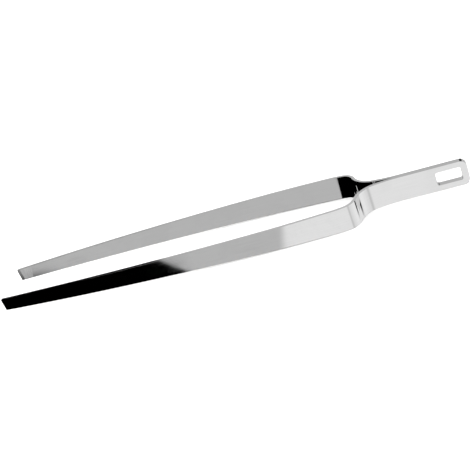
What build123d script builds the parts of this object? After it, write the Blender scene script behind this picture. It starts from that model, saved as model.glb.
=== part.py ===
from build123d import *
from math import asin, degrees, radians, sin, tan
import os

# Barbecue tongs: two long spring strips of polished steel that stand on edge, welded back to back at the handle.
# X runs from the tips to the end of the handle, Y runs across the jaw, and Z is up.
# The origin is on the ground, under the middle of the length, midway between the two strips.

# The strip blank, in millimetres
overall_length = 350.0  # tips to the end of the handle
strip_thickness = 2.25
handle_width = 18.2  # height of the strip on edge, all along the handle
tip_width = 9.8
full_width_length = 62.0  # from the end of the handle to where the taper begins
taper_bulge = 0.35  # each edge bows out this far halfway along the taper
taper_blend_radius = 500.0  # eases the taper into the handle
end_corner_radius = 4.8
edge_break = 0.25  # the long edges are eased by polishing

# The bends, on the middle of the strip's thickness, in millimetres and degrees
welded_length = 45.0  # the flat run where the strips lie back to back
flare_radius = 92.0
flare_angle = 11.5  # the strips part gently before the neck
neck_radius = 17.4
neck_angle = 73.2  # how far the strip leans outward past the neck
shoulder_radius = 10.7
shoulder_angle = 12.9  # how far the arm still leans outward past the shoulder
easing_radius = 51.0
easing_angle = 8.8  # the shoulder eases into the blade
root_bow_radius = 1030.0
root_bow_angle = 3.45
blade_bow_radius = 2260.0

# The hanging hole in the handle
hole_length = 17.0
hole_height = 9.6
hole_corner_radius = 1.3
hole_end_margin = 4.5  # steel left past the hole
hole_edge_break = 0.25

# The tips are ground on the inside, so that they grip
grip_length = 10.0  # at half height
grip_slant = 17.0  # the ground patch is longer along its top, by this angle
grip_depth = 0.08
nose_length = 2.4
nose_depth = 0.17

# The spot welds that join the strips, across the seam
weld_diameter = 6.0
weld_height = 1.6
weld_bevel = 0.5
weld_spacing = 9.5
weld_count = 2

cut_overrun = 2.0

# Places that follow from the sizes
tip_x = -overall_length / 2
end_x = overall_length / 2
taper_end_x = end_x - full_width_length
belly = ((tip_x + taper_end_x) / 2, (tip_width + handle_width) / 4 + taper_bulge)
weld_start_x = end_x - welded_length
mid_height = handle_width / 2
seat_y = -strip_thickness / 2  # middle of the left strip where it lies on the seam
hole_x = end_x - hole_end_margin - hole_length / 2
weld_row_x = (weld_start_x + hole_x - hole_length / 2) / 2
grip_reach = tip_width * tan(radians(grip_slant))  # of the slant, over one tip width of height
side_reach = overall_length / 4  # further out than either arm
side_plane = Plane.XZ.shift_origin((0, 0, mid_height))

# The left strip's path in plan, from just past the end of the handle to the root of the blade
with BuildLine(Plane.XY) as fixed_path:
    handle_run = Line((end_x + cut_overrun, seat_y), (weld_start_x, seat_y))
    flare = JernArc(handle_run @ 1, handle_run % 1, flare_radius, flare_angle)
    neck = JernArc(flare @ 1, flare % 1, neck_radius, neck_angle - flare_angle)
    shoulder = JernArc(neck @ 1, neck % 1, shoulder_radius, shoulder_angle - neck_angle)
    easing = JernArc(shoulder @ 1, shoulder % 1, easing_radius, -easing_angle)

# From there to just past the tip: the arm bows out, then comes in again
belly_angle = shoulder_angle - easing_angle - root_bow_angle
with BuildLine(Plane.XY) as blade_path:
    root_bow = JernArc(easing @ 1, easing % 1, root_bow_radius, -root_bow_angle)
    blade_run = (root_bow @ 1).X - tip_x + cut_overrun
    tip_angle = degrees(asin(blade_run / blade_bow_radius - sin(radians(belly_angle))))
    blade_bow = JernArc(root_bow @ 1, root_bow % 1, blade_bow_radius, -belly_angle - tip_angle)

# The same path given its thickness, in plan
with BuildSketch(Plane.XY) as fixed_plan:
    trace([handle_run, flare, neck, shoulder, easing], line_width=strip_thickness)
with BuildSketch(Plane.XY) as blade_plan:
    trace([root_bow, blade_bow], line_width=strip_thickness)

# The blank from the side: a square tip, a long taper with a slight belly, and a rounded handle end
with BuildSketch(side_plane) as blank:
    with BuildLine():
        Line((tip_x, 0), (tip_x, tip_width / 2))
        taper = ThreePointArc((tip_x, tip_width / 2), belly, (taper_end_x, handle_width / 2))
        Polyline(taper @ 1, (end_x, handle_width / 2), (end_x, 0))
        mirror(about=Plane.XZ)
    make_face()
    fillet(vertices().group_by(Axis.X)[-1], radius=end_corner_radius)
    fillet(vertices().filter_by_position(Axis.X, taper_end_x, taper_end_x), radius=taper_blend_radius)

# Spot welds: flat nuggets that reach into both strips
with BuildPart() as spot_welds:
    with BuildSketch(side_plane.offset(-weld_height / 2)):
        with Locations((weld_row_x, 0)):
            with GridLocations(weld_spacing, 0, weld_count, 1):
                Circle(weld_diameter / 2)
    extrude(amount=weld_height)
    chamfer(edges().filter_by(GeomType.CIRCLE), length=weld_bevel)

# Left handle strip: the handle half with its neck and shoulder
with BuildPart() as left_handle_strip:
    extrude(fixed_plan.sketch, amount=handle_width)
    extrude(blank.sketch, amount=side_reach, both=True, mode=Mode.INTERSECT)
    outer_face = faces().filter_by(Axis.Y).sort_by(Axis.Y)[0]
    chamfer(outer_face.edges().filter_by(Axis.X), length=edge_break)
    with BuildSketch(side_plane):
        with Locations((hole_x, 0)):
            RectangleRounded(hole_length, hole_height, hole_corner_radius)
    extrude(amount=side_reach, both=True, mode=Mode.SUBTRACT)
    outer_face = faces().filter_by(Axis.Y).sort_by(Axis.Y)[0]
    chamfer(outer_face.inner_wires()[0].edges(), length=hole_edge_break)
    add(spot_welds.part, mode=Mode.SUBTRACT)

# Left blade: the arm that swings, from its root to the tip
with BuildPart() as left_blade:
    extrude(blade_plan.sketch, amount=handle_width)
    extrude(blank.sketch, amount=side_reach, both=True, mode=Mode.INTERSECT)
    chamfer(edges().filter_by(lambda edge: edge.length > handle_width), length=edge_break)
    tip_corner = vertices().group_by(Axis.X)[0].sort_by(Axis.Y)[-1]
    nose_plane = Plane(origin=(tip_x, tip_corner.Y, 0), x_dir=-(blade_bow % 1), z_dir=(0, 0, 1))
    grip_plane = Plane(origin=(tip_x, tip_corner.Y, mid_height), x_dir=nose_plane.x_dir, z_dir=-nose_plane.y_dir)
    with BuildSketch(grip_plane.offset(-cut_overrun)):
        with BuildLine():
            Polyline(
                (-cut_overrun, tip_width),
                (grip_length + grip_reach, tip_width),
                (grip_length - grip_reach, -tip_width),
                (-cut_overrun, -tip_width),
                close=True,
            )
        make_face()
    extrude(amount=cut_overrun + grip_depth, mode=Mode.SUBTRACT)
    with BuildSketch(nose_plane):
        with BuildLine():
            Polyline(
                (-cut_overrun, 0),
                (-cut_overrun, -nose_depth),
                (0, -nose_depth),
                (nose_length, -grip_depth),
                (nose_length, 0),
                close=True,
            )
        make_face()
    extrude(amount=handle_width, mode=Mode.SUBTRACT)

# The right arm mirrors the left one
with BuildPart() as right_handle_strip:
    mirror(left_handle_strip.part, about=Plane.XZ)
with BuildPart() as right_blade:
    mirror(left_blade.part, about=Plane.XZ)

left_handle_strip.part.label = "left_handle_strip"
right_handle_strip.part.label = "right_handle_strip"
left_blade.part.label = "left_blade"
right_blade.part.label = "right_blade"
spot_welds.part.label = "spot_welds"

os.makedirs("parts", exist_ok=True)
export_step(left_handle_strip.part, "parts/left_handle_strip.step")
export_step(right_handle_strip.part, "parts/right_handle_strip.step")
export_step(left_blade.part, "parts/left_blade.step")
export_step(right_blade.part, "parts/right_blade.step")
export_step(spot_welds.part, "parts/spot_welds.step")
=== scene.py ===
import math

import bmesh
import bpy
from mathutils import Matrix, Vector


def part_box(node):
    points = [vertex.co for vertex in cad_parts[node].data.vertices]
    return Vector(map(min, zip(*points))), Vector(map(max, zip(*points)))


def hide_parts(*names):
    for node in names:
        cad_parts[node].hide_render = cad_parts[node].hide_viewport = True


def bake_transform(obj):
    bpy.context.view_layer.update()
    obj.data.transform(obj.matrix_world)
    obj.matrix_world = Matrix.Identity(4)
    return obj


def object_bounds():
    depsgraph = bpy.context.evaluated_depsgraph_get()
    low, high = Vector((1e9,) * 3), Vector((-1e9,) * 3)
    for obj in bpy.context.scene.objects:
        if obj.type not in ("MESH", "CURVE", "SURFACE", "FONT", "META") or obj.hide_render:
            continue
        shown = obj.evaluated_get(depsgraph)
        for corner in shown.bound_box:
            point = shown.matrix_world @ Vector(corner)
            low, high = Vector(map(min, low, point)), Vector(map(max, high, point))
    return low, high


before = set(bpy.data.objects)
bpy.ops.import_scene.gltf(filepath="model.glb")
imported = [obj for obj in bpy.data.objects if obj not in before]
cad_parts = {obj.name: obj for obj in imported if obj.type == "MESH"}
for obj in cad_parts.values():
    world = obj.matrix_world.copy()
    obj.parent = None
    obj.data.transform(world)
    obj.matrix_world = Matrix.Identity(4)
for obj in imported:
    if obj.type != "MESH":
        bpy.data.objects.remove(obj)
cadLow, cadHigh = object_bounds()
millimetre = 0.001
print("frame loaded")


# The camera stands where the photograph was taken from
cameraSetup = {
    "target": Vector((7.192, 0.0, 5.809)) * millimetre,
    "azimuth": 16.223,  # degrees; 0 looks along +Y
    "elevation": 28.013,
    "roll": 22.384,
    "distance": 609.91 * millimetre,
    "focalPixels": 846.01,  # in an image 470 pixels wide
    "imagePixels": 470,
    "sensorWidth": 36.0,  # in millimetres, as Blender counts it
    "clipStart": 10 * millimetre,
}


def makeCamera(setup):
    azimuth, elevation, roll = (math.radians(setup[name]) for name in ("azimuth", "elevation", "roll"))
    levelRight = Vector((math.cos(azimuth), math.sin(azimuth), 0))
    forward = Vector((-math.sin(azimuth), math.cos(azimuth), 0)) * math.cos(elevation)
    forward.z = -math.sin(elevation)
    levelUp = levelRight.cross(forward)
    right = levelRight * math.cos(roll) - levelUp * math.sin(roll)
    up = levelRight * math.sin(roll) + levelUp * math.cos(roll)
    data = bpy.data.cameras.new("camera")
    data.sensor_width = setup["sensorWidth"]
    data.lens = setup["focalPixels"] / setup["imagePixels"] * setup["sensorWidth"]
    data.clip_start = setup["clipStart"]
    camera = bpy.data.objects.new("camera", data)
    turn = Matrix((right, up, -forward)).transposed().to_4x4()
    camera.matrix_world = Matrix.Translation(setup["target"] - forward * setup["distance"]) @ turn
    bpy.context.scene.collection.objects.link(camera)
    bpy.context.scene.camera = camera


makeCamera(cameraSetup)
print("camera placed")


# Helpers for shader nodes
def addNode(tree, kind, inputs=None, **settings):
    node = tree.nodes.new(kind)
    for name, value in settings.items():
        setattr(node, name, value)
    for name, value in (inputs or {}).items():
        if isinstance(value, bpy.types.NodeSocket):
            tree.links.new(value, node.inputs[name])
        else:
            node.inputs[name].default_value = value
    return node


def calculate(tree, operation, *values):
    return addNode(tree, "ShaderNodeMath", dict(enumerate(values)), operation=operation).outputs[0]


def remap(tree, value, zeroAt, oneAt):
    # a smooth step, from 0 to 1
    inputs = {"Value": value, "From Min": zeroAt, "From Max": oneAt}
    return addNode(tree, "ShaderNodeMapRange", inputs, interpolation_type="SMOOTHSTEP").outputs[0]


def mixColours(tree, share, first, second):
    # 6, 7 and 2 are the mix node's sockets for colours
    node = addNode(tree, "ShaderNodeMix", {0: share, 6: first, 7: second}, data_type="RGBA")
    return node.outputs[2]


# Steel: hairlines from polishing and faint smears, over a tone and a roughness for each finish
steelFinishes = {
    "polished": {"tones": (0.70, 0.745), "roughness": 0.022, "lines": 0.022, "smears": 0.022, "bump": 0.03},
    "edge": {"tones": (0.66, 0.72), "roughness": 0.035, "lines": 0.025, "smears": 0.015, "bump": 0.06},
    "ground": {"tones": (0.74, 0.82), "roughness": 0.05, "lines": 0.06, "smears": 0.02, "bump": 0.10},
    "weld": {"tones": (0.40, 0.52), "roughness": 0.38, "lines": 0.05, "smears": 0.12, "bump": 0.30},
}
steelMarks = {
    "lineLength": 30 * millimetre,
    "lineWidth": 0.6 * millimetre,
    "lineDepth": 0.01 * millimetre,
    "lineDetail": 4.0,
    "lineRoughness": 0.6,
    "lineRange": (0.35, 0.75),  # of the noise, from no line to a full one
    "lineTone": 0.6,  # how far a full line goes from the light tone to the dark one
    "smearSize": 18 * millimetre,
    "smearDetail": 3.0,
    "smearDistortion": 0.5,
    "smearRange": (0.42, 0.70),
    "smearTone": 0.4,
}


def steel(name, finish):
    marks = steelMarks
    material = bpy.data.materials.new(name)
    material.use_nodes = True
    tree = material.node_tree
    shader = tree.nodes["Principled BSDF"]
    shader.inputs["Metallic"].default_value = 1.0
    place = addNode(tree, "ShaderNodeTexCoord").outputs["Object"]
    blank = place  # the welds have no flat blank
    if name != "weld":
        blank = addNode(tree, "ShaderNodeUVMap", uv_map="blank").outputs[0]
    along, across = 1 / marks["lineLength"], 1 / marks["lineWidth"]
    if name == "ground":
        along, across = across, along  # ground across the tip
    mapping = {"Vector": blank, "Scale": (along, across, 1.0)}
    lineInputs = {
        "Vector": addNode(tree, "ShaderNodeMapping", mapping).outputs[0],
        "Scale": 1.0,
        "Detail": marks["lineDetail"],
        "Roughness": marks["lineRoughness"],
    }
    lines = addNode(tree, "ShaderNodeTexNoise", lineInputs).outputs[0]
    smearInputs = {
        "Vector": place,
        "Scale": 1 / marks["smearSize"],
        "Detail": marks["smearDetail"],
        "Distortion": marks["smearDistortion"],
    }
    smears = addNode(tree, "ShaderNodeTexNoise", smearInputs).outputs[0]
    lineShare = remap(tree, lines, *marks["lineRange"])
    smearShare = remap(tree, smears, *marks["smearRange"])
    dulled = calculate(tree, "MULTIPLY", lineShare, marks["lineTone"])
    dulled = calculate(tree, "MULTIPLY_ADD", smearShare, marks["smearTone"], dulled)
    dark, light = ((tone, tone, tone, 1.0) for tone in finish["tones"])
    tree.links.new(mixColours(tree, dulled, light, dark), shader.inputs["Base Color"])
    rough = calculate(tree, "MULTIPLY_ADD", lineShare, finish["lines"], finish["roughness"])
    rough = calculate(tree, "MULTIPLY_ADD", smearShare, finish["smears"], rough)
    tree.links.new(rough, shader.inputs["Roughness"])
    bumpInputs = {"Height": lines, "Strength": finish["bump"], "Distance": marks["lineDepth"]}
    tree.links.new(addNode(tree, "ShaderNodeBump", bumpInputs).outputs[0], shader.inputs["Normal"])
    return material


steels = {name: steel(name, finish) for name, finish in steelFinishes.items()}
print("steel made")


# One strip of the tongs, in metres and degrees. The flat blank is laid out first and then bent,
# as the real one is formed. s runs along the blank from the end of the handle to the tip. A lean
# says how far outward the strip points past a bend.
stripSizes = {
    "thickness": 2.25 * millimetre,
    "tipWidth": 9.8 * millimetre,
    "fullWidthLength": 62.0 * millimetre,
    "taperBulge": 0.35 * millimetre,
    "endCornerRadius": 4.8 * millimetre,
    "tipCornerRadius": 0.4 * millimetre,
    "outerEdgeRadius": 0.15 * millimetre,
    "innerEdgeRadius": 0.26 * millimetre,
    "seamEdgeRadius": 0.05 * millimetre,  # where the strips lie back to back
    "seamFade": 4.8 * millimetre,  # from the seam's edges to the inner ones
    "weldedLength": 45.0 * millimetre,
    "flareRadius": 92.0 * millimetre,
    "flareLean": 11.5,
    "neckRadius": 17.4 * millimetre,
    "neckLean": 73.2,
    "shoulderRadius": 10.7 * millimetre,
    "shoulderLean": 12.9,
    "easingRadius": 51.0 * millimetre,
    "easingLean": 4.1,
    "rootBowRadius": 1030.0 * millimetre,
    "rootBowLean": 0.65,
    "bladeBowRadius": 2260.0 * millimetre,
    "holeLength": 17.0 * millimetre,
    "holeHeight": 9.6 * millimetre,
    "holeCornerRadius": 1.3 * millimetre,
    "holeEndMargin": 4.5 * millimetre,
    "gripLength": 11.2 * millimetre,  # the tip is ground flat on its inside, at half height over this
    "gripSlant": 17.0,  # the ground patch is longer along its top
    "gripDepth": (0.05 * millimetre, 0.09 * millimetre),  # past the nose, and where the patch ends
    "gripStep": 0.02 * millimetre,  # the length of the step where it ends
    "gripFade": 20.0 * millimetre,  # the mesh straightens over this, past the slanted end
    "noseLength": 2.4 * millimetre,
    "noseDepth": 0.15 * millimetre,
}

# How finely a strip is divided
stripSteps = {
    "bendDegrees": 1.5,
    "runLength": 3.5 * millimetre,
    "edgeArc": 4,
    "across": 14,
    "endCorner": 8,
    "besideHole": 8,
    "tipCorner": 4,
    "holeHalfCorner": 6,
    "pastHole": 1.6 * millimetre,  # from here the mesh runs straight across
    "slope": 0.1 * millimetre,  # the taper's slope is taken this far either way
}

stripSteels = ("polished", "edge", "ground")  # in the order of a strip's materials
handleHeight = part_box("left_handle_strip")[1].z
tipX, endX = cadLow.x, cadHigh.x


def alongStrip(runs, s):
    # x, y and outward lean of the middle of the left strip's thickness
    x, y, lean = endX, -stripSizes["thickness"] / 2, 0.0
    for length, turn in runs:
        step = min(s, length)
        if turn:
            bend = turn / length
            newLean = lean + bend * step
            x -= (math.sin(newLean) - math.sin(lean)) / bend
            y += (math.cos(newLean) - math.cos(lean)) / bend
            lean = newLean
        else:
            x -= step
        s -= step
        if s <= 0:
            break
    return x, y, lean


def bendRuns(sizes):
    # length and outward turn of each run, from the end of the handle to the tip
    runs, lean = [(sizes["weldedLength"], 0.0)], 0.0
    for bend in ("flare", "neck", "shoulder", "easing", "rootBow"):
        newLean = math.radians(sizes[bend + "Lean"])
        runs.append((sizes[bend + "Radius"] * abs(newLean - lean), newLean - lean))
        lean = newLean
    bladeX = alongStrip(runs, sum(length for length, turn in runs))[0]
    tipLean = math.asin((bladeX - tipX) / sizes["bladeBowRadius"] - math.sin(lean))
    runs.append((sizes["bladeBowRadius"] * (lean + tipLean), -lean - tipLean))
    return runs


stripRuns = bendRuns(stripSizes)
stripLength = sum(length for length, turn in stripRuns)


def halfWidth(s):
    x = alongStrip(stripRuns, s)[0]
    tipHalf, handleHalf = stripSizes["tipWidth"] / 2, handleHeight / 2
    share = min(1.0, (x - tipX) / (endX - stripSizes["fullWidthLength"] - tipX))
    return tipHalf + (handleHalf - tipHalf) * share + stripSizes["taperBulge"] * 4 * share * (1 - share)


def sideStations():
    # places along the blank, between its corner arcs
    sizes, steps = stripSizes, stripSteps
    start, count = sizes["endCornerRadius"], steps["besideHole"]
    pastHole = sizes["holeEndMargin"] + sizes["holeLength"] + steps["pastHole"]
    stations = [start + (pastHole - start) * k / count for k in range(1, count + 1)]
    marks, bendEnd = [pastHole], 0.0
    for length, turn in stripRuns[:-1]:
        bendEnd += length
        marks.append(bendEnd)
    marks.append(stripLength - sizes["gripLength"] - sizes["gripStep"])
    marks += [stripLength - sizes[name] for name in ("gripLength", "noseLength", "tipCornerRadius")]
    for low, high in zip(marks, marks[1:]):
        turn = abs(alongStrip(stripRuns, high)[2] - alongStrip(stripRuns, low)[2])
        count = math.ceil(max(math.degrees(turn) / steps["bendDegrees"], (high - low) / steps["runLength"]))
        stations += [low + (high - low) * k / count for k in range(1, count + 1)]
    return stations


def quarterTurn(k, count):
    # cosine and sine at step k of count in a quarter turn
    angle = math.pi / 2 * k / count
    return math.cos(angle), math.sin(angle)


def blankSide():
    # the blank's upper side from handle to tip: s, height over the middle, and the outward direction
    points = []
    radius, count = stripSizes["endCornerRadius"], stripSteps["endCorner"]
    for k in range(count + 1):
        c, d = quarterTurn(k, count)
        points.append((radius * (1 - c), handleHeight / 2 - radius * (1 - d), -c, d))
    near = stripSteps["slope"]
    for s in sideStations():
        fall = math.atan((halfWidth(s - near) - halfWidth(s + near)) / (2 * near))
        points.append((s, halfWidth(s), math.sin(fall), math.cos(fall)))
    radius, count = stripSizes["tipCornerRadius"], stripSteps["tipCorner"]
    tipHalf = halfWidth(stripLength - radius)
    for k in range(1, count + 1):
        c, d = quarterTurn(k, count)
        points.append((stripLength - radius * (1 - d), tipHalf - radius * (1 - c), d, c))
    return points


def holeSide():
    # round the hole from its lower corner nearest the tip; the directions point into the hole
    sizes, steps = stripSizes, stripSteps
    radius, corner = sizes["holeCornerRadius"], steps["holeHalfCorner"]
    middle = sizes["holeEndMargin"] + sizes["holeLength"] / 2
    reachS, reachZ = sizes["holeLength"] / 2 - radius, sizes["holeHeight"] / 2 - radius
    counts = (steps["across"], steps["endCorner"] + steps["besideHole"])

    def arcPoint(angle, quarter):
        toCorner = math.radians(45 + 90 * quarter)
        c, d = math.cos(math.radians(angle)), math.sin(math.radians(angle))
        s = middle + math.copysign(reachS, math.cos(toCorner)) + radius * c
        return s, math.copysign(reachZ, math.sin(toCorner)) + radius * d, -c, -d

    points = []
    for side in range(4):
        facing, straight = 90 * side, counts[side % 2] - 2 * corner
        points += [arcPoint(facing - 45 + 45 * k / corner, side - 1) for k in range(corner + 1)]
        start, end = arcPoint(facing, side - 1), arcPoint(facing, side)
        for k in range(1, straight):
            points.append(tuple(a + (b - a) * k / straight for a, b in zip(start, end)))
        points += [arcPoint(facing + 45 * k / corner, side) for k in range(corner)]
    return points


def groundDepth(s):
    # how much is ground off the inside of the tip
    fromTip, sizes = max(0.0, stripLength - s), stripSizes
    noseLength, gripLength = sizes["noseLength"], sizes["gripLength"]
    shallow, deep = sizes["gripDepth"]
    if fromTip < noseLength:
        return sizes["noseDepth"] + (shallow - sizes["noseDepth"]) * fromTip / noseLength
    if fromTip < gripLength + sizes["gripStep"] / 2:
        return shallow + (deep - shallow) * (fromTip - noseLength) / (gripLength - noseLength)
    return 0.0


def gripShift(s, z):
    # the places beside the end of the ground patch lean with it
    fromTip, sizes = stripLength - s, stripSizes
    noseLength, gripLength = sizes["noseLength"], sizes["gripLength"]
    past = fromTip - gripLength
    share = 1 + past / (gripLength - noseLength) if past < 0 else 1 - past / sizes["gripFade"]
    return -z * math.tan(math.radians(sizes["gripSlant"])) * min(1.0, max(0.0, share))


def seamRadius(s):
    # the inner edges are sharp where the strips lie back to back, and round past there
    sizes = stripSizes
    share = min(1.0, max(0.0, (s - sizes["weldedLength"]) / sizes["seamFade"]))
    return sizes["seamEdgeRadius"] + (sizes["innerEdgeRadius"] - sizes["seamEdgeRadius"]) * share


def makeStrip(name, side):
    # one mesh for the whole strip; side is -1 for the left strip and 1 for the right one
    sizes, steps = stripSizes, stripSteps
    half, across, arc = sizes["thickness"] / 2, steps["across"], steps["edgeArc"]
    places, normals, blankPlaces, faces, kinds = [], [], [], [], []

    def addPoint(s, n, z, direction, unrolled):
        # n is how far outward from the middle of the thickness
        x, y, lean = alongStrip(stripRuns, s + gripShift(s, z))
        outward = Vector((math.sin(lean), -math.cos(lean), 0))
        onward = Vector((-math.cos(lean), -math.sin(lean), 0))
        place = Vector((x, y, handleHeight / 2 + z)) + outward * max(n, groundDepth(s) - half)
        place.x, place.y = max(place.x, tipX), max(place.y, cadLow.y)  # inside the solids' box
        normal = onward * direction[0] + outward * direction[1] + Vector((0, 0, direction[2]))
        places.append(Vector((place.x, -side * place.y, place.z)))
        normals.append(Vector((normal.x, -side * normal.y, normal.z)).normalized())
        blankPlaces.append(unrolled)
        return len(places) - 1

    def addEdge(s, z, alongS, alongZ, outerRadius, innerRadius):
        # the cut edge at one place, from the outer face round to the inner face
        points = []
        for radius, outward in ((outerRadius, 1), (innerRadius, -1)):
            for k in range(arc + 1):
                angle = math.pi / 2 * (1 - k / arc if outward > 0 else k / arc)
                c, d = math.cos(angle), outward * math.sin(angle)
                inset, n = radius * (1 - c), outward * (half - radius) + radius * d
                unrolled = (s + alongS * (half - n), z + alongZ * (half - n))
                direction = (alongS * c, d, alongZ * c)
                points.append(addPoint(s - alongS * inset, n, z - alongZ * inset, direction, unrolled))
        return points

    def addAcross(upper, lower):
        # points between two that face each other across the strip
        row = [upper]
        for k in range(1, across):
            places.append(places[upper].lerp(places[lower], k / across))
            normals.append(normals[upper].copy())
            ends = zip(blankPlaces[upper], blankPlaces[lower])
            blankPlaces.append(tuple(a + (b - a) * k / across for a, b in ends))
            row.append(len(places) - 1)
        return row + [lower]

    def addFaces(first, second, kind):
        for k in range(len(first) - 1):
            faces.append((first[k], first[k + 1], second[k + 1], second[k]))
            kinds.append(kind)

    # The outline all round: upper side to the tip, down the tip, lower side back, up the end of the handle
    upper = blankSide()
    last, pastHole = len(upper) - 1, steps["endCorner"] + steps["besideHole"]
    lowerSide = 2 * last + across  # where the lower side is back at the handle's end
    outline = list(upper)
    outline += [(upper[-1][0], upper[-1][1] * (1 - 2 * k / across), 1, 0) for k in range(1, across)]
    outline += [(s, -z, alongS, -alongZ) for s, z, alongS, alongZ in reversed(upper)]
    outline += [(upper[0][0], upper[0][1] * (2 * k / across - 1), -1, 0) for k in range(1, across)]
    rim = [addEdge(*place, sizes["outerEdgeRadius"], seamRadius(place[0])) for place in outline]
    holeRim = [addEdge(*place, sizes["outerEdgeRadius"], sizes["seamEdgeRadius"]) for place in holeSide()]
    gripStart = next(k for k, place in enumerate(upper) if place[0] > stripLength - sizes["gripLength"]) - 1
    for loop in (rim, holeRim):
        for k, points in enumerate(loop):
            addFaces(points, loop[(k + 1) % len(loop)], "edge")
    for row in (0, -1):  # the outer face, then the inner one
        ring = [points[row] for points in rim]
        rows = [addAcross(ring[k], ring[lowerSide - k]) for k in range(pastHole, last)]
        rows.append(ring[last : last + across + 1])
        for k, (first, second) in enumerate(zip(rows, rows[1:]), pastHole):
            addFaces(first, second, "ground" if row == -1 and k >= gripStart else "polished")
        # beside the hole, from the first row and the outline round it to its rim
        around = rows[0][::-1] + ring[pastHole - 1 :: -1] + ring[:lowerSide:-1]
        around += ring[lowerSide : lowerSide - pastHole : -1]
        hole = [points[row] for points in holeRim]
        addFaces(around + around[:1], hole + hole[:1], "polished")

    mesh = bpy.data.meshes.new(name)
    mesh.from_pydata(places, [], faces)
    for steelName in stripSteels:
        mesh.materials.append(steels[steelName])
    mesh.polygons.foreach_set("material_index", [stripSteels.index(kind) for kind in kinds])
    shape = bmesh.new()
    shape.from_mesh(mesh)
    bmesh.ops.recalc_face_normals(shape, faces=shape.faces)
    shape.to_mesh(mesh)
    shape.free()
    mesh.shade_smooth()
    blankMap = mesh.uv_layers.new(name="blank")
    for loop in mesh.loops:
        blankMap.data[loop.index].uv = blankPlaces[loop.vertex_index]
    # the faces are smooth, but for the flat ground patch
    ground = stripSteels.index("ground")
    cornerNormals = []
    for face in mesh.polygons:
        flat = face.material_index == ground
        cornerNormals += [face.normal if flat else normals[k] for k in face.vertices]
    mesh.normals_split_custom_set(cornerNormals)
    strip = bpy.data.objects.new(name, mesh)
    bpy.context.scene.collection.objects.link(strip)
    return strip


for sideName, side in (("left", -1), ("right", 1)):
    strip = makeStrip(sideName + "_strip", side)
    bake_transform(strip)
    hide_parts(sideName + "_handle_strip", sideName + "_blade")
    print(sideName, "strip made,", len(strip.data.polygons), "faces")

# The weld nuggets are the solids themselves, between the strips
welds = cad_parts["spot_welds"]
welds.data.materials.clear()
welds.data.materials.append(steels["weld"])
print("welds finished")


# Floor, lamp and surroundings
floorSetup = {
    "size": 16.0,  # metres
    "colour": (0.93, 0.93, 0.925),
    "roughness": 0.9,
    "grain": 0.012,  # how much darker the grains are
    "grainScale": 30.0,
    "grainDetail": 3.0,
}


def makeFloor(setup):
    mesh = bpy.data.meshes.new("floor")
    reach = setup["size"] / 2
    corners = [(-reach, -reach, 0), (reach, -reach, 0), (reach, reach, 0), (-reach, reach, 0)]
    mesh.from_pydata(corners, [], [(0, 1, 2, 3)])
    material = bpy.data.materials.new("floor")
    material.use_nodes = True
    tree = material.node_tree
    shader = tree.nodes["Principled BSDF"]
    shader.inputs["Roughness"].default_value = setup["roughness"]
    shader.inputs["Specular IOR Level"].default_value = 0.0
    place = addNode(tree, "ShaderNodeTexCoord").outputs["Object"]
    grainInputs = {"Vector": place, "Scale": setup["grainScale"], "Detail": setup["grainDetail"]}
    grain = addNode(tree, "ShaderNodeTexNoise", grainInputs).outputs[0]
    light = (*setup["colour"], 1.0)
    dark = tuple(value - setup["grain"] for value in setup["colour"]) + (1.0,)
    tree.links.new(mixColours(tree, grain, dark, light), shader.inputs["Base Color"])
    mesh.materials.append(material)
    floor = bpy.data.objects.new("floor", mesh)
    floor.visible_glossy = False  # the steel mirrors the studio's cards through it
    bpy.context.scene.collection.objects.link(floor)


makeFloor(floorSetup)
print("floor made")

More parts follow.
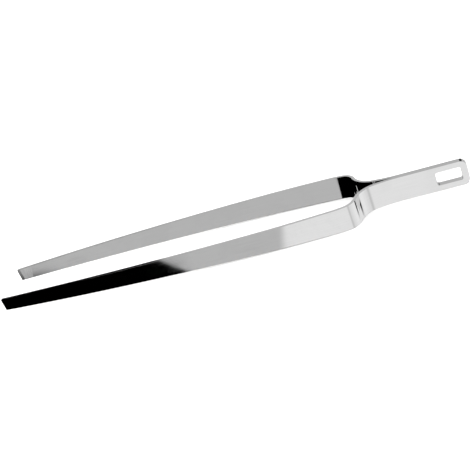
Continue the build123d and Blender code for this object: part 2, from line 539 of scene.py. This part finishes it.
# What the steel mirrors: cards around the tongs, by direction in degrees. Azimuth 0 is toward -Y, the
# camera's side, and 90 is toward the tips, -X; elevation is above the level. A later card covers the
# ones before it. soft is how far its borders spread either way, at its sides and at its top and bottom.
# lean shifts its sides for each degree of elevation above leanFrom, within leanReach of it, and rise
# lifts its top and bottom for each degree of azimuth past its middle.
studio = {
    "fill": 1.85,  # what all but mirrored rays see
    "level": 1.0,  # where no card stands
    "leanFrom": -28,
    "leanReach": 4,
}
studioCards = {
    "left haze": {"azimuth": (-68, -44), "elevation": (-90, 8), "level": 0.93, "soft": (5, 6)},
    "left gap": {"azimuth": (-52, -41), "elevation": (-90, 8), "level": 0.70, "soft": (7, 6)},
    "left glow": {"azimuth": (-101, -82), "elevation": (-90, 8), "level": 1.06, "soft": (6, 6)},
    "back panel 1": {"azimuth": (146, 153), "elevation": (-90, 8), "level": 0.12, "soft": (5, 6)},
    "back panel 2": {"azimuth": (158, 176), "elevation": (-90, 8), "level": 0.62, "soft": (5, 6)},
    "back panel 3": {"azimuth": (187, 199), "elevation": (-90, 8), "level": 0.45, "soft": (5, 6)},
    "back panel 4": {"azimuth": (-150, -141), "elevation": (-90, 8), "level": 0.15, "soft": (5, 6)},
    "slit": {"azimuth": (-120.5, -108.5), "elevation": (-29.5, -20), "level": 0.0, "soft": (1, 0.5)},
    "grey panel": {
        "azimuth": (7.75, 60),
        "elevation": (-90, 8),
        "level": 0.605,
        "soft": (0.8, 6),
        "lean": -0.75,
    },
    "low panel": {"azimuth": (24.4, 118), "elevation": (-90, -20), "level": 0.3, "soft": (3, 6)},
    "under shade": {"azimuth": (25, 160), "elevation": (-91, -34), "level": 0.0, "soft": (3, 3)},
    "black panel": {
        "azimuth": (23.4, 118),
        "elevation": (-42, 26),
        "level": 0.0,
        "soft": (0.3, 6),
        "lean": 1.65,
    },
    "foot shade": {
        "azimuth": (20.25, 40),
        "elevation": (-26.5, -24.35),
        "level": 0.0,
        "soft": (0.7, 0.4),
        "lean": 0.8,
    },
    "end shade": {"azimuth": (-175, -60), "elevation": (-16, 20), "level": 0.65, "soft": (4, 5)},
    "sky": {"azimuth": (-181, 181), "elevation": (14, 91), "level": 0.69, "soft": (1, 6)},
    "back sky": {"azimuth": (174, 200), "elevation": (14, 60), "level": 0.605, "soft": (2, 6)},
    "overhead": {"azimuth": (-181, 181), "elevation": (48, 91), "level": 0.5, "soft": (1, 8)},
    "upper flag": {"azimuth": (36, 144), "elevation": (34, 66), "level": 0.0, "soft": (7, 4)},
    "brow flag": {"azimuth": (25.5, 118), "elevation": (5, 40), "level": 0.0, "soft": (2, 3)},
    "wedge flag": {"azimuth": (122, 130.5), "elevation": (-40, 8), "level": 0.0, "soft": (1.2, 4)},
    "tip flag": {
        "azimuth": (133, 157),
        "elevation": (22.9, 60),
        "level": 0.0,
        "soft": (0.7, 0.2),
        "rise": 0.215,
    },
    "end flag": {"azimuth": (-171, -60), "elevation": (15, 32), "level": 0.03, "soft": (3, 3)},
}


def makeStudio(setup, cards):
    world = bpy.data.worlds.new("studio")
    bpy.context.scene.world = world
    world.use_nodes = True
    tree = world.node_tree
    direction = addNode(tree, "ShaderNodeTexCoord").outputs["Generated"]
    x, y, z = addNode(tree, "ShaderNodeSeparateXYZ", {0: direction}).outputs
    elevation = calculate(tree, "DEGREES", calculate(tree, "ARCSINE", z))
    leanHeight = calculate(tree, "SUBTRACT", elevation, setup["leanFrom"])
    leanHeight = calculate(tree, "MAXIMUM", leanHeight, -setup["leanReach"])
    leanHeight = calculate(tree, "MINIMUM", leanHeight, setup["leanReach"])
    level = setup["level"]
    for card in cards.values():
        # azimuth is counted from the card's middle, so that no side falls on the jump at 180
        turn = math.radians(sum(card["azimuth"]) / 2)
        facing, sideways = (-math.sin(turn), -math.cos(turn)), (-math.cos(turn), math.sin(turn))
        ahead, aside = (
            calculate(tree, "MULTIPLY_ADD", x, axis[0], calculate(tree, "MULTIPLY", y, axis[1]))
            for axis in (facing, sideways)
        )
        azimuth = calculate(tree, "DEGREES", calculate(tree, "ARCTAN2", aside, ahead))
        upward = calculate(tree, "SUBTRACT", elevation, sum(card["elevation"]) / 2)
        if "rise" in card:
            upward = calculate(tree, "MULTIPLY_ADD", azimuth, -card["rise"], upward)
        if "lean" in card:
            azimuth = calculate(tree, "MULTIPLY_ADD", leanHeight, -card["lean"], azimuth)
        inside = 1.0
        for place, ends, soft in zip((azimuth, upward), (card["azimuth"], card["elevation"]), card["soft"]):
            reach = (ends[1] - ends[0]) / 2
            away = calculate(tree, "ABSOLUTE", place)
            inside = calculate(tree, "MULTIPLY", inside, remap(tree, away, reach + soft, reach - soft))
        kept = calculate(tree, "MULTIPLY", calculate(tree, "SUBTRACT", 1.0, inside), level)
        level = calculate(tree, "MULTIPLY_ADD", inside, card["level"], kept)
    # only mirrored rays see the cards
    glossy = addNode(tree, "ShaderNodeLightPath").outputs["Is Glossy Ray"]
    filled = calculate(tree, "MULTIPLY", calculate(tree, "SUBTRACT", 1.0, glossy), setup["fill"])
    strength = calculate(tree, "MULTIPLY_ADD", glossy, level, filled)
    background = tree.nodes["Background"]
    background.inputs["Color"].default_value = (1, 1, 1, 1)
    tree.links.new(strength, background.inputs["Strength"])


makeStudio(studio, studioCards)

lampSetup = {"place": (-0.5, -0.6, 1.6), "size": 1.4, "power": 6.0}  # in metres and watts


def makeLamp(setup):
    data = bpy.data.lights.new("softbox", "AREA")
    data.size = setup["size"]
    data.energy = setup["power"]
    lamp = bpy.data.objects.new("softbox", data)
    lamp.location = setup["place"]
    lamp.rotation_euler = (-Vector(setup["place"])).to_track_quat("-Z", "Y").to_euler()
    lamp.visible_glossy = False
    bpy.context.scene.collection.objects.link(lamp)


makeLamp(lampSetup)
bpy.context.scene.view_settings.view_transform = "Standard"
print("studio made")
